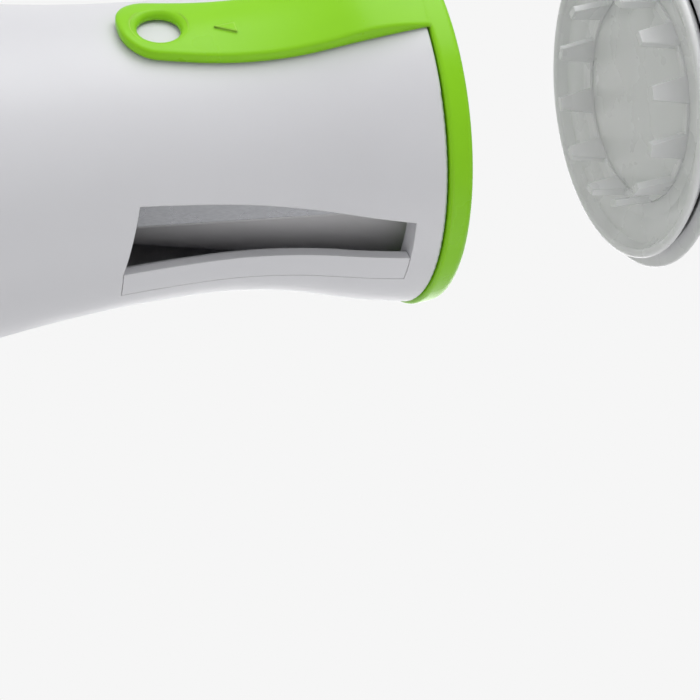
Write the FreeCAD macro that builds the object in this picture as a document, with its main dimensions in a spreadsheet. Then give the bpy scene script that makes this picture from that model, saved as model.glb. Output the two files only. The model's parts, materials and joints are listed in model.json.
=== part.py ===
"""Hand spiralizer with a crank: a hollow waisted body with a conical cutter, a selector
collar that shifts a comb, and a toothed vegetable holder driven by a crank.

Millimetres. +Z runs up the tool's axis, and the origin is on that axis in the plane of
the foot. The holder stands lifted off the mouth, as it does behind a vegetable.
"""
import FreeCAD, Part
import math
import os
import re

import Sketcher
from FreeCAD import Placement, Rotation, Vector

doc = FreeCAD.newDocument("spiralizer")

# ---------------------------------------------------------------- driving dimensions
SIZES = {
    # collar, its skirt and its lever
    "collar_top": 118.0,
    "collar_height": 4.8,
    "collar_radius": 37.0,
    "collar_overhang": 0.4,
    "collar_swell": 0.25,
    "collar_round": 1.2,
    "skirt_wall": 2.6,
    "skirt_depth": 4.9,
    "ledge_width": 0.7,
    "ledge_thickness": 0.8,
    "ledge_gap": 0.2,
    "lever_angle": -129.3,
    "lever_gap": 0.6,
    "lever_thickness": 1.8,
    "lever_length": 60.8,
    "lever_tip_flat": 1.9,
    "lever_low_round": 5.7,
    "lever_high_round": 7.3,
    "lever_lean": 11.0,
    "lever_bow": 290.0,
    "lever_edge": 0.4,
    "lever_shoulder": 98.0,
    "lever_shoulder_bend": 32.0,
    "view_hole": 8.0,
    "view_hole_rise": 7.5,
    "view_hole_side": 0.4,
    "view_hole_round": 1.4,
    "arrow_rise": 17.3,
    "arrow_side": 2.75,
    "arrow_lean": 0.75,
    "arrow_length": 3.9,
    "arrow_width": 2.7,
    "arrow_height": 0.45,
    "selector_swing": 40.0,
    # waisted body
    "waist_draw": 7.9,
    "waist_height": 70.0,
    "base_flare": 270.0,
    "neck_flare": 89.0,
    "flare_end": 95.0,
    "shoulder_bend": 142.0,
    "rim_wall": 3.0,
    "rim_round": 0.5,
    "rib_thickness": 1.0,
    "shell_wall": 2.0,
    "shelf_height": 49.6,
    "shelf_thickness": 2.4,
    "foot_thickness": 2.5,
    "foot_tongue": 3.0,
    "foot_width": 4.4,
    # exit window and its lip, seen square on
    "window_angle": -43.0,
    "window_bottom": 52.4,
    "window_slant": 3.4,
    "window_top": 107.3,
    "window_upper_low": 10.2,
    "window_upper_high": 4.3,
    "window_lower": 11.5,
    "lip_start": 4.6,
    "lip_flange": 1.4,
    "lip_lap": 4.5,
    "lip_step": 1.4,
    "lip_gap": 0.12,
    # mouth and conical cutter
    "mouth_inset": 4.0,
    "mouth_wall": 0.8,
    "mouth_round": 0.6,
    "mouth_bevel": 0.4,
    "mouth_flange_thickness": 1.2,
    "mouth_spigot": 4.0,
    "cone_half_angle": 11.0,
    "cone_wall": 2.0,
    "cone_middle": 81.0,
    "cone_flange_thickness": 3.0,
    "cone_screw_inset": 5.1,
    "cone_screw_margin": 2.6,
    # blade
    "blade_angle": -66.0,
    "blade_width": 9.6,
    "blade_length": 56.0,
    "blade_thickness": 0.8,
    "blade_bevel": 2.2,
    "blade_screw_span": 51.0,
    "blade_screw_offset": 6.6,
    "bed_depth": 4.0,
    "bed_start": 0.8,
    "bed_margin": 0.6,
    "slice_gap": 2.6,
    "slice_length": 50.0,
    "seat_reach": 8.0,
    # combs
    "comb_step": 18.0,
    "comb_spread": 20.0,
    "comb_pitch": 10.0,
    "comb_teeth": 5,
    "comb_tooth_width": 2.0,
    "comb_tooth_thickness": 0.6,
    "comb_reach": 1.8,
    "comb_strip": 0.6,
    "comb_strip_width": 4.0,
    "comb_strip_length": 54.0,
    "comb_screw_span": 49.0,
    "comb_slot_width": 2.4,
    "comb_slot_margin": 1.2,
    "comb_seat": 1.5,
    "comb_travel": 5.0,
    "slider_width": 5.6,
    "slider_thickness": 1.6,
    "slider_strip_width": 3.2,
    "slider_strip_end": 3.0,
    "slider_end": 24.0,
    "slider_top": 31.0,
    "slider_gap": 0.3,
    "clip_width": 6.0,
    "clip_wall": 1.5,
    "clip_top": 1.0,
    "clip_low": -6.0,
    "clip_high": 17.0,
    "peg_at": 29.6,
    "peg_diameter": 2.0,
    "peg_engagement": 0.75,
    "groove_backing": 0.85,
    "groove_clearance": 0.1,
    # detent
    "detent_angle": 60.0,
    "detent_inset": 1.4,
    "detent_boss": 1.9,
    "detent_ball": 2.3,
    "detent_drop": 0.2,
    "detent_rise": 0.05,
    "detent_depth": 6.0,
    "detent_floor": 0.5,
    "detent_bore_gap": 0.1,
    "dimple_depth": 0.35,
    "dimple_radius": 0.7,
    "spring_wire": 0.3,
    "spring_turns": 5,
    "spring_gap": 0.05,
    # screws
    "screw_head": 3.6,
    "screw_head_height": 1.4,
    "screw_shank": 2.0,
    "small_screw_head": 2.8,
    "small_screw_head_height": 0.8,
    "small_screw_shank": 1.5,
    "screw_hole_floor": 0.6,
    # what a screw's head is like, as shares of its diameter and height
    "head_flat": 0.3,
    "head_bend": 0.6,
    "head_rim": 0.45,
    "recess_reach": 0.28,
    "recess_half": 0.07,
    "recess_depth": 0.5,
    "blade_screw_bite": 1.6,
    "hub_screw_length": 7.5,
    # vegetable holder
    "holder_lift": 48.5,
    "dish_inset": 2.4,
    "dish_rim": 2.1,
    "dish_rim_round": 0.9,
    "dish_side": 1.2,
    "dish_step": 2.6,
    "dish_step_draw": 1.0,
    "dish_draw": 8.8,
    "dish_bowl": 6.3,
    "dish_bowl_bend": 12.0,
    "dish_back_bend": 22.0,
    "dish_depth": 4.0,
    "dish_floor": 3.0,
    "crown_inset": 12.5,
    "crown_band": 1.5,
    "crown_seat": 1.0,
    "crown_foot": 0.6,
    "tooth_count": 12,
    "tooth_base": 5.8,
    "tooth_tip": 2.8,
    "tooth_height": 8.0,
    "tooth_phase": 7.7,
    "cap_radius": 37.2,
    "cap_lip": 3.9,
    "cap_edge": 0.4,
    "cap_wall": 2.0,
    "cap_slope_wall": 2.3,
    "cap_setback": 3.5,
    "cap_depth": 12.4,
    "cap_back_radius": 15.0,
    "cap_crest": 4.3,
    "cap_crest_drop": 1.2,
    "cap_crest_bend": 8.4,
    "bush_radius": 6.0,
    "bush_flange": 8.0,
    "bush_flange_thickness": 1.2,
    "boss_wall": 3.5,
    "boss_depth": 5.4,
    "shaft_radius": 4.0,
    "shaft_flange": 14.0,
    "shaft_length": 20.5,
    "shaft_screw_circle": 11.7,
    "shaft_end_hole": 8.0,
    # crank
    "hub_radius": 10.0,
    "hub_height": 12.2,
    "hub_round": 1.0,
    "hub_recess": 6.5,
    "hub_cap_crown": 0.8,
    "crank_length": 46.0,
    "arm_thickness": 6.0,
    "arm_drop": 2.2,
    "arm_hub_half": 8.5,
    "arm_tip_half": 7.5,
    "arm_edge": 1.2,
    "axle_radius": 3.0,
    "axle_head": 4.4,
    "axle_head_height": 1.5,
    "axle_head_bevel": 0.4,
    "knob_radius": 10.5,
    "knob_neck": 8.0,
    "knob_head": 8.8,
    "knob_top_flat": 6.6,
    "knob_foot_round": 0.8,
    "knob_belly": 0.55,
    "knob_low_bend": 50.0,
    "knob_high_bend": 30.0,
    "knob_crown": 2.0,
    "knob_crown_bend": 2.2,
    "knob_length": 28.0,
    "knob_recess": 5.2,
    "knob_recess_depth": 4.5,
    "knob_cap_thickness": 1.6,
    "knob_cap_crown": 0.6,
    # clearances and cutters
    "face_gap": 0.3,
    "running_gap": 0.05,
    "side_gap": 0.3,
    "fit_room": 0.2,
    "clear_step": 0.1,
    "cut_over": 1.0,
    "edge_break": 0.8,
}

sheet = doc.addObject("Spreadsheet::Sheet", "Sizes")
for row, (alias, size) in enumerate(SIZES.items(), start=1):
    sheet.set(f"A{row}", alias.replace("_", " "))
    sheet.set(f"B{row}", str(size))
    sheet.setAlias(f"B{row}", alias)
doc.recompute()

# Names for places that several pieces share, each worked out from the sizes.
PLACES = {
    "collar_bottom": "collar_top - collar_height",
    "collar_swollen": "collar_radius + collar_swell",
    "rim_radius": "collar_radius - collar_overhang",
    "rim_height": "collar_bottom - face_gap",
    "skirt_radius": "rim_radius - rim_wall",
    "skirt_bore": "skirt_radius - skirt_wall",
    "skirt_bottom": "collar_bottom - skirt_depth",
    "ledge_radius": "skirt_bore - ledge_width",
    "groove_bottom": "skirt_radius - groove_backing",
    "detent_circle": "skirt_radius - detent_inset",
    "boss_height": "skirt_bottom - face_gap - detent_drop",
    "land_radius": "skirt_radius + running_gap",
    "land_bottom": "skirt_bottom - face_gap - clear_step",
    "rib_bore": "skirt_bore - clear_step",
    "rib_bottom": "land_bottom - rib_thickness",
    "waist_radius": "collar_radius - waist_draw",
    "neck_centre": "waist_radius + neck_flare",
    "base_centre": "waist_radius + base_flare",
    "mouth_radius": "skirt_bore - mouth_inset",
    "mouth_flange": "skirt_bore + side_gap",
    "mouth_bottom": "collar_top - mouth_flange_thickness + face_gap",
    "shelf_top": "shelf_height + shelf_thickness",
    "cone_drop": "mouth_bottom - mouth_spigot - shelf_top",
    "core_radius": "mouth_radius - mouth_wall - (cone_drop) * tan(cone_half_angle * 1 deg)",
    "cone_screw_radius": "core_radius + cone_screw_inset",
    "cone_flange_radius": "cone_screw_radius + cone_screw_margin",
    "lever_tip": "collar_top - lever_length",
    "near_axis": "waist_radius / 6",
    "outside_all": "collar_radius + 8 * cut_over",
    "dish_front": "collar_top + holder_lift",
    "dish_radius": "cap_radius - dish_inset",
    "dish_ground": "dish_front + dish_depth",
    "dish_back": "dish_ground + dish_floor",
    "crown_radius": "dish_radius - crown_inset",
    "crown_inner": "crown_radius - crown_band / 2",
    "crown_outer": "crown_radius + crown_band / 2",
    "cap_front": "dish_front + cap_setback",
    "cap_back": "cap_front + cap_depth",
    "boss_bottom": "cap_back - boss_depth",
    "shaft_flange_top": "boss_bottom - face_gap",
    "shaft_top": "dish_back + shaft_length",
    "hub_bottom": "cap_back + bush_flange_thickness + face_gap",
    "hub_top": "hub_bottom + hub_height",
    "arm_top": "hub_top - arm_drop",
    "arm_bottom": "arm_top - arm_thickness",
    "knob_bottom": "arm_top + face_gap",
    "knob_top": "knob_bottom + knob_length",
    "slider_floor": "comb_seat + slider_gap",
    "slider_strip": "comb_pitch * (comb_teeth - 1) + 2 * slider_strip_end",
}


def formula(text):
    """Spell out the shared places, then point every alias at the sheet."""
    while any(word in PLACES for word in re.findall(r"[a-z_]+", text)):
        text = re.sub(r"[a-z_]+", lambda m: f"({PLACES[m[0]]})" if m[0] in PLACES else m[0], text)
    return re.sub(r"[a-z_]+", lambda m: f"Sizes.{m[0]}" if m[0] in SIZES else m[0], text)


def number(text):
    """The value that a formula has now."""
    return float(sheet.evalExpression(formula(str(text))))


# ---------------------------------------------------------------- helpers
# Coordinates closer than this are the same.
EXACT = 0.01

nodes = []


def keep(piece, name):
    """Name a finished piece: its label becomes its file's name."""
    piece.Label = name
    nodes.append(piece)
    return piece


def new_body(name):
    return doc.addObject("PartDesign::Body", name)


def new_sketch(body, role, name, offset=None):
    """A sketch on one of the body's own planes, raised by a formula where asked."""
    plane = next(f for f in body.Origin.OriginFeatures if f.Role == role)
    sketch = body.newObject("Sketcher::SketchObject", name)
    sketch.AttachmentSupport = [(plane, "")]
    sketch.MapMode = "FlatFace"
    if offset is not None:
        sketch.setExpression("AttachmentOffset.Base.z", formula(offset))
    return sketch


def place_point(sketch, side, end, axis, text, label):
    """Hold one coordinate of a corner: on an axis when it is 0, else at a bound distance."""
    if text == "0":
        on_axis = -2 if axis == "X" else -1
        sketch.addConstraint(Sketcher.Constraint("PointOnObject", side, end, on_axis))
        return
    held = Sketcher.Constraint(f"Distance{axis}", -1, 1, side, end, number(text))
    index = sketch.addConstraint(held)
    sketch.renameConstraint(index, label)
    sketch.setExpression(f"Constraints.{label}", formula(text))


def outline(sketch, corners, arcs=None):
    """A closed outline through corners given as pairs of formulas.

    arcs maps a side's number to (radius formula, 1 or -1): that side is an arc that
    bulges to the left (1) or right (-1) of its own direction.
    """
    arcs = arcs or {}
    spots = [Vector(number(x), number(y), 0) for x, y in corners]
    tag = f"s{len(sketch.Geometry)}"
    first = len(sketch.Geometry)
    ends = []
    for i, start in enumerate(spots):
        end = spots[(i + 1) % len(spots)]
        if i not in arcs:
            sketch.addGeometry(Part.LineSegment(start, end))
            ends.append((1, 2))
            continue
        radius, side = number(arcs[i][0]), arcs[i][1]
        run = end - start
        left = Vector(-run.y, run.x, 0).normalize()
        rise = radius - math.sqrt(radius**2 - (run.Length / 2) ** 2)
        sketch.addGeometry(Part.Arc(start, (start + end) * 0.5 + left * rise * side, end))
        ends.append((2, 1) if side > 0 else (1, 2))
    for i, (x, y) in enumerate(corners):
        side = first + i
        follower = first + (i + 1) % len(corners)
        here, there = ends[i], ends[(i + 1) % len(corners)]
        sketch.addConstraint(Sketcher.Constraint("Coincident", side, here[1], follower, there[0]))
        place_point(sketch, side, here[0], "X", x, f"{tag}x{i}")
        place_point(sketch, side, here[0], "Y", y, f"{tag}y{i}")
    for i, (radius, _) in arcs.items():
        index = sketch.addConstraint(Sketcher.Constraint("Radius", first + i, number(radius)))
        sketch.renameConstraint(index, f"{tag}r{i}")
        sketch.setExpression(f"Constraints.{tag}r{i}", formula(radius))


def circle(sketch, x, y, radius):
    """A full circle at a place given by formulas."""
    tag = f"c{len(sketch.Geometry)}"
    centre = Vector(number(x), number(y), 0)
    side = sketch.addGeometry(Part.Circle(centre, Vector(0, 0, 1), number(radius)))
    place_point(sketch, side, 3, "X", x, f"{tag}x")
    place_point(sketch, side, 3, "Y", y, f"{tag}y")
    index = sketch.addConstraint(Sketcher.Constraint("Radius", side, number(radius)))
    sketch.renameConstraint(index, f"{tag}r")
    sketch.setExpression(f"Constraints.{tag}r", formula(radius))


def turned(name, corners, arcs=None):
    """A body turned about Z from an outline of (radius, height) corners."""
    body = new_body(name)
    sketch = new_sketch(body, "XZ_Plane", name + "_outline")
    outline(sketch, corners, arcs)
    turn = body.newObject("PartDesign::Revolution", name + "_turn")
    turn.Profile = sketch
    turn.ReferenceAxis = (sketch, ["V_Axis"])
    turn.Angle = 360.0
    body.Tip = turn
    return body


def grooved(body, name, corners, arcs=None):
    """Turn a further outline about Z and take it out of the body."""
    sketch = new_sketch(body, "XZ_Plane", name + "_outline")
    outline(sketch, corners, arcs)
    groove = body.newObject("PartDesign::Groove", name)
    groove.Profile = sketch
    groove.ReferenceAxis = (sketch, ["V_Axis"])
    groove.Angle = 360.0
    body.Tip = groove
    return groove


def padded(body, sketch, name, length):
    pad = body.newObject("PartDesign::Pad", name)
    pad.Profile = sketch
    pad.setExpression("Length", formula(length))
    body.Tip = pad
    return pad


def pocketed(body, sketch, name, depth, upward=False):
    """Cut down from the sketch's plane, or up when asked."""
    pocket = body.newObject("PartDesign::Pocket", name)
    pocket.Profile = sketch
    pocket.setExpression("Length", formula(depth))
    pocket.Reversed = upward
    body.Tip = pocket
    return pocket


def around(body, feature, name, count):
    """Repeat a feature evenly about Z."""
    axis = next(f for f in body.Origin.OriginFeatures if f.Role == "Z_Axis")
    pattern = body.newObject("PartDesign::PolarPattern", name)
    pattern.Originals = [feature]
    pattern.Axis = (axis, [""])
    pattern.Angle = 360.0
    pattern.setExpression("Occurrences", formula(count))
    body.Tip = pattern
    return pattern


def box(name, low, high, place=None):
    """A Part::Box between two corners given as formulas, inside a placed frame."""
    piece = doc.addObject("Part::Box", name)
    for side, axis in (("Length", 0), ("Width", 1), ("Height", 2)):
        piece.setExpression(side, formula(f"({high[axis]}) - ({low[axis]})"))
    corner = Placement(Vector(*(number(text) for text in low)), Rotation())
    piece.Placement = (place or Placement()).multiply(corner)
    return piece


def cylinder(name, radius, height, place):
    piece = doc.addObject("Part::Cylinder", name)
    piece.setExpression("Radius", formula(radius))
    piece.setExpression("Height", formula(height))
    piece.Placement = place
    return piece


def fused(name, pieces):
    joined = doc.addObject("Part::MultiFuse", name)
    joined.Shapes = pieces
    joined.Refine = True
    return joined


def cut(name, base, tools):
    """Take one or more tools out of a piece."""
    tool = tools[0] if len(tools) == 1 else fused(name + "_tools", tools)
    result = doc.addObject("Part::Cut", name)
    result.Base = base
    result.Tool = tool
    result.Refine = True
    return result


def common(name, first, second):
    result = doc.addObject("Part::Common", name)
    result.Base = first
    result.Tool = second
    result.Refine = True
    return result


def about_axis(degrees, radius=0.0, height=0.0):
    """A frame turned about Z, its X pointing outward, at a radius and height."""
    turn = Rotation(Vector(0, 0, 1), degrees)
    return Placement(turn.multVec(Vector(radius, 0, height)), turn)


def thirds(radius, height):
    """Three such frames, evenly about Z, as three screws stand."""
    return [about_axis(angle, number(radius), number(height)) for angle in (0, 120, 240)]


def on_cone(angle):
    """A frame on the cutter cone's inner face: X out of the cone, Z up along its side."""
    degrees = number(angle)
    lean = Rotation(Vector(0, 1, 0), number("cone_half_angle"))
    radius = number(cone_radius("cone_middle"))
    frame = about_axis(degrees, radius, number("cone_middle"))
    return frame.multiply(Placement(Vector(), lean))


def cone_radius(height):
    """The cutter cone's inner radius at a height, as a formula."""
    start = "(mouth_radius - mouth_wall)"
    drop = f"(mouth_bottom - mouth_spigot - ({height}))"
    return f"({start} - {drop} * tan(cone_half_angle * 1 deg))"


def neck_radius(height, offset="0"):
    """The shell's radius on its upper hollow curve, moved out by an offset."""
    return f"(neck_centre - sqrt((neck_flare - ({offset}))^2 - (({height}) - waist_height)^2))"


def base_radius(height, offset="0"):
    """The same on its long lower curve."""
    return f"(base_centre - sqrt((base_flare - ({offset}))^2 - (({height}) - waist_height)^2))"


# ---------------------------------------------------------------- housing
def wall_blank(name, inner, outer, low, high):
    """A turned wall between two offsets of the shell's outside, over the window's heights."""
    corners = [
        (base_radius(low, inner), low),
        (base_radius(low, outer), low),
        (f"waist_radius + ({outer})", "waist_height"),
        (neck_radius("flare_end", outer), "flare_end"),
        (f"{shoulder_radius(high)} + ({outer})", high),
        (f"{shoulder_radius(high)} + ({inner})", high),
        (neck_radius("flare_end", inner), "flare_end"),
        (f"waist_radius + ({inner})", "waist_height"),
    ]
    arcs = {
        1: (f"base_flare - ({outer})", 1),
        2: (f"neck_flare - ({outer})", 1),
        3: (f"shoulder_bend + ({outer})", -1),
        5: (f"shoulder_bend + ({inner})", 1),
        6: (f"neck_flare - ({inner})", -1),
        7: (f"base_flare - ({inner})", -1),
    }
    return turned(name, corners, arcs)


def shoulder_radius(height):
    """The shell's outer radius between the flare's end and the rim, nearly straight."""
    start = neck_radius("flare_end")
    share = f"(({height}) - flare_end) / (rim_height - flare_end)"
    bow = f"({share}) * (1 - {share}) * (rim_height - flare_end)^2 / (2 * shoulder_bend)"
    return f"({start} + (rim_radius - {start}) * {share} + {bow})"


def window_frame():
    return about_axis(number("window_angle") + 90.0)


def square_on(name, corners, place, near="near_axis", far="outside_all", arcs=None):
    """A prism that shows its outline to someone who looks at the axis from one side."""
    body = new_body(name)
    sketch = new_sketch(body, "XZ_Plane", name + "_outline", near)
    outline(sketch, corners, arcs)
    padded(body, sketch, name + "_pad", f"({far}) - ({near})")
    body.Placement = place
    return body


def make_body_shell():
    shell = turned(
        "shell",
        [
            ("0", "foot_thickness"),
            (base_radius("foot_thickness"), "foot_thickness"),
            ("waist_radius", "waist_height"),
            (neck_radius("flare_end"), "flare_end"),
            (shoulder_radius("(rim_height - rim_round)"), "rim_height - rim_round"),
            ("rim_radius - rim_round", "rim_height"),
            ("0", "rim_height"),
        ],
        {
            1: ("base_flare", 1),
            2: ("neck_flare", 1),
            3: ("shoulder_bend", -1),
            4: ("rim_round", -1),
        },
    )
    grooved(
        shell,
        "upper_hollow",
        [
            ("0", "shelf_top"),
            (base_radius("shelf_top", "-shell_wall"), "shelf_top"),
            ("waist_radius - shell_wall", "waist_height"),
            (neck_radius("flare_end", "-shell_wall"), "flare_end"),
            ("land_radius", "rib_bottom"),
            ("rib_bore", "rib_bottom"),
            ("rib_bore", "land_bottom"),
            ("land_radius", "land_bottom"),
            ("land_radius", "rim_height + cut_over"),
            ("0", "rim_height + cut_over"),
        ],
        {1: ("base_flare + shell_wall", 1), 2: ("neck_flare + shell_wall", 1)},
    )
    grooved(
        shell,
        "lower_hollow",
        [
            ("0", "0"),
            (base_radius("0", "-shell_wall"), "0"),
            (base_radius("shelf_height", "-shell_wall"), "shelf_height"),
            ("0", "shelf_height"),
        ],
        {1: ("base_flare + shell_wall", 1)},
    )
    grooved(
        shell,
        "core_hole",
        [
            ("0", "shelf_height - cut_over"),
            ("core_radius + side_gap", "shelf_height - cut_over"),
            ("core_radius + side_gap", "shelf_top + cut_over"),
            ("0", "shelf_top + cut_over"),
        ],
    )
    holes = new_sketch(shell, "XY_Plane", "shelf_screw_hole", "shelf_height - cut_over")
    circle(holes, "cone_screw_radius", "0", "screw_shank / 2")
    hole = pocketed(shell, holes, "shelf_hole", "shelf_thickness + 2 * cut_over", upward=True)
    around(shell, hole, "shelf_holes", "3")

    boss = cylinder("detent_boss", "detent_boss", "detent_depth", detent_spot("boss_height - detent_depth"))
    whole = fused("shell_with_boss", [shell, boss])
    floor = detent_spot("boss_height - detent_depth + detent_floor")
    bore = cylinder("detent_bore", "detent_ball / 2 + detent_bore_gap", "detent_depth", floor)
    keep(cut("body_shell_cut", whole, [make_window(), bore]), "body_shell")


def make_window():
    """The exit window's cutter: wider at the foot's end, with a slanted lower end."""
    return square_on(
        "window",
        [
            ("-window_upper_low", "window_bottom + window_slant"),
            ("lip_start", "window_bottom"),
            ("window_lower", "window_bottom"),
            ("window_lower", "window_top"),
            ("-window_upper_high", "window_top"),
        ],
        window_frame(),
    )


def window_strip(name, start, end, low, high):
    """A square-on block of the window, between two sides and two heights."""
    corners = [(start, low), (end, low), (end, high), (start, high)]
    return square_on(name, corners, window_frame())


def make_exit_lip():
    """The strip that closes the window's lower side, with its hidden flange."""
    low = "window_bottom + lip_gap"
    high = "window_top - lip_gap"
    inside = "window_lower - lip_gap"
    wall = wall_blank("lip_wall", "-shell_wall", "0", low, high)
    flush = window_strip("lip_flush", "lip_start", inside, low, high)

    back_low = "window_bottom + lip_gap + cut_over"
    backing = wall_blank("lip_backing", "-shell_wall - lip_flange", "-shell_wall", back_low, "flare_end")
    lap = window_strip("lip_lap", "lip_start + lip_step", "window_lower + lip_lap", back_low, "flare_end")

    pieces = [common("lip_a", wall, flush), common("lip_b", backing, lap)]
    keep(fused("exit_lip_fuse", pieces), "exit_lip")


def make_foot_ring():
    outside = base_radius("foot_thickness")
    inside = f"{outside} - foot_width"
    top = "foot_thickness + foot_tongue"
    foot = turned(
        "foot",
        [
            (inside, "0"),
            (f"{outside} - edge_break", "0"),
            (outside, "edge_break"),
            (outside, "foot_thickness"),
            (base_radius("foot_thickness", "-shell_wall"), "foot_thickness"),
            (base_radius(top, "-shell_wall"), top),
            (inside, top),
        ],
        {4: ("base_flare + shell_wall", 1)},
    )
    keep(foot, "foot_ring")


def make_cutter_cone():
    body = new_cone_body()
    tools = blade_bed_tools() + comb_tools() + slider_tools()
    whole = fused("cone_and_bed", [body, make_blade_bed()])
    keep(cut("cutter_cone_cut", whole, tools), "cutter_cone")


def new_cone_body():
    """The cone's wall with the flange that stands on the shelf."""
    top = "mouth_bottom"
    flange_top = "(shelf_top + cone_flange_thickness)"
    wall = "cone_wall / cos(cone_half_angle * 1 deg)"
    cone = turned(
        "cone",
        [
            ("core_radius", "shelf_top"),
            ("cone_flange_radius", "shelf_top"),
            ("cone_flange_radius", flange_top),
            (f"{cone_radius(flange_top)} + {wall}", flange_top),
            (f"{cone_radius(top)} + {wall}", top),
            ("mouth_radius", top),
            ("mouth_radius", f"{top} - mouth_spigot"),
            ("mouth_radius - mouth_wall", f"{top} - mouth_spigot"),
        ],
    )
    sketch = new_sketch(cone, "XY_Plane", "flange_hole_sketch", "shelf_top")
    circle(sketch, "cone_screw_radius", "0", "screw_shank / 2")
    depth = "cone_flange_thickness - screw_hole_floor"
    around(cone, pocketed(cone, sketch, "flange_hole", depth, upward=True), "flange_holes", "3")
    return cone


def make_blade_bed():
    """The thick part of the cone's wall that the blade is screwed to."""
    half = "(blade_length / 2 + bed_margin)"
    low = ("-bed_depth", "bed_start", f"-{half}")
    high = ("0", "blade_width + bed_margin", half)
    bed = box("blade_bed", low, high, on_cone("blade_angle"))
    void = doc.addObject("Part::Cone", "cone_void")
    void.setExpression("Radius1", formula(cone_radius("shelf_height")))
    void.setExpression("Radius2", formula("mouth_radius - mouth_wall"))
    void.setExpression("Height", formula("mouth_bottom - mouth_spigot - shelf_height"))
    void.Placement = Placement(Vector(0, 0, number("shelf_height")), Rotation())
    return cut("bed_hollowed", bed, [void])


def blade_bed_tools():
    """What the blade needs cut from the cone: its seat, the slot for the slices and two holes."""
    frame = on_cone("blade_angle")
    half = "(blade_length / 2 + fit_room)"
    tools = [
        box(
            "blade_seat",
            ("0", "-slice_gap", f"-{half}"),
            ("seat_reach", "blade_width + 2 * cut_over", half),
            frame,
        ),
        box(
            "slice_slot",
            ("-bed_depth", "-slice_gap", "-slice_length / 2"),
            ("seat_reach", "bed_start", "slice_length / 2"),
            frame,
        ),
    ]
    for spot in blade_screw_spots("-bed_depth / 2"):
        tools.append(cylinder("blade_hole", "screw_shank / 2", "bed_depth", spot))
    return tools


def blade_screw_spots(depth):
    """Frames on the blade's two screw axes, at a depth out of the cone."""
    return [
        facing_out(
            "blade_angle",
            Vector(number(depth), number("blade_screw_offset"), sign * number("blade_screw_span / 2")),
        )
        for sign in (-1, 1)
    ]


def facing_out(angle, spot):
    """A frame at a spot on the cone's side, whose Z points out of the cone."""
    return on_cone(angle).multiply(Placement(spot, Rotation(Vector(0, 1, 0), 90)))


def comb_tools():
    """Slots for the two combs' knives, and the fixed comb's seat and holes."""
    reach = "(comb_pitch * (comb_teeth - 1) / 2 + comb_slot_margin)"
    tools = []
    for name, angle, travel in (("fixed", FIXED_ANGLE, "0"), ("sliding", SLIDE_ANGLE, "comb_travel")):
        low = ("-seat_reach / 2", "-comb_slot_width / 2", f"-{reach}")
        high = ("seat_reach / 2", "comb_slot_width / 2", f"{reach} + {travel}")
        tools.append(box(name + "_slot", low, high, on_cone(angle)))
    side = "(comb_strip_width / 2 + fit_room)"
    end = "(comb_strip_length / 2 + fit_room)"
    low = ("comb_seat", f"-{side}", f"-{end}")
    tools.append(box("fixed_seat", low, ("seat_reach", side, end), on_cone(FIXED_ANGLE)))
    for spot in comb_screw_spots("-cut_over"):
        tools.append(cylinder("comb_hole", "small_screw_shank / 2", "comb_seat + 2 * cut_over", spot))
    return tools


def slider_tools():
    """The seat that the slider and its clips stand in."""
    side = "(slider_width / 2 + slider_gap + clip_wall + fit_room)"
    low = ("comb_seat", f"-{side}", "-slider_end - cut_over")
    high = ("seat_reach", side, "slider_top + comb_travel + seat_reach")
    return [box("slider_seat", low, high, slide_frame())]


def comb_screw_spots(depth):
    """Frames on the fixed comb's two screw axes, at a depth out of the cone."""
    return [
        facing_out(FIXED_ANGLE, Vector(number(depth), 0, sign * number("comb_screw_span / 2")))
        for sign in (-1, 1)
    ]


FIXED_ANGLE = "(blade_angle - comb_step)"
SLIDE_ANGLE = "(blade_angle - comb_step - comb_spread)"


def screw_body(name, head, head_height, shank, length):
    """A round-headed screw: head above z = 0, shank below, with a cross recess."""
    screw = turned(
        name,
        [
            ("0", f"-({length})"),
            (f"{shank} / 2", f"-({length})"),
            (f"{shank} / 2", "0"),
            (f"{head} / 2", "0"),
            (f"{head} / 2", f"{head_height} * head_rim"),
            (f"{head} * head_flat", head_height),
            ("0", head_height),
        ],
        {4: (f"{head} * head_bend", -1)},
    )
    cross = new_sketch(screw, "XY_Plane", name + "_cross", head_height)
    arm = f"{head} * recess_reach"
    slot = f"{head} * recess_half"
    quarter = [(slot, slot), (slot, arm), (f"-{slot}", arm)]
    turned_back = [(f"-{slot}", slot), (f"-{arm}", slot), (f"-{arm}", f"-{slot}")]
    opposite = [(f"-{slot}", f"-{slot}"), (f"-{slot}", f"-{arm}"), (slot, f"-{arm}")]
    last = [(slot, f"-{slot}"), (arm, f"-{slot}"), (arm, slot)]
    outline(cross, quarter + turned_back + opposite + last)
    pocketed(screw, cross, name + "_recess", f"{head_height} * recess_depth")
    return screw


def screw_group(name, screw, places):
    """Copies of one screw at several places, kept as one node."""
    doc.recompute()
    group = doc.addObject("Part::Feature", name)
    solids = []
    for place in places:
        copy = screw.Shape.copy()
        copy.Placement = place.multiply(copy.Placement)
        solids.append(copy)
    group.Shape = Part.makeCompound(solids)
    return keep(group, name)


def make_cone_screws():
    length = "shelf_thickness + cone_flange_thickness - cut_over"
    screw = screw_body("cone_screw", "screw_head", "screw_head_height", "screw_shank", length)
    flip = Placement(Vector(), Rotation(Vector(1, 0, 0), 180))
    places = [spot.multiply(flip) for spot in thirds("cone_screw_radius", "shelf_height")]
    screw_group("cone_screws", screw, places)


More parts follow.
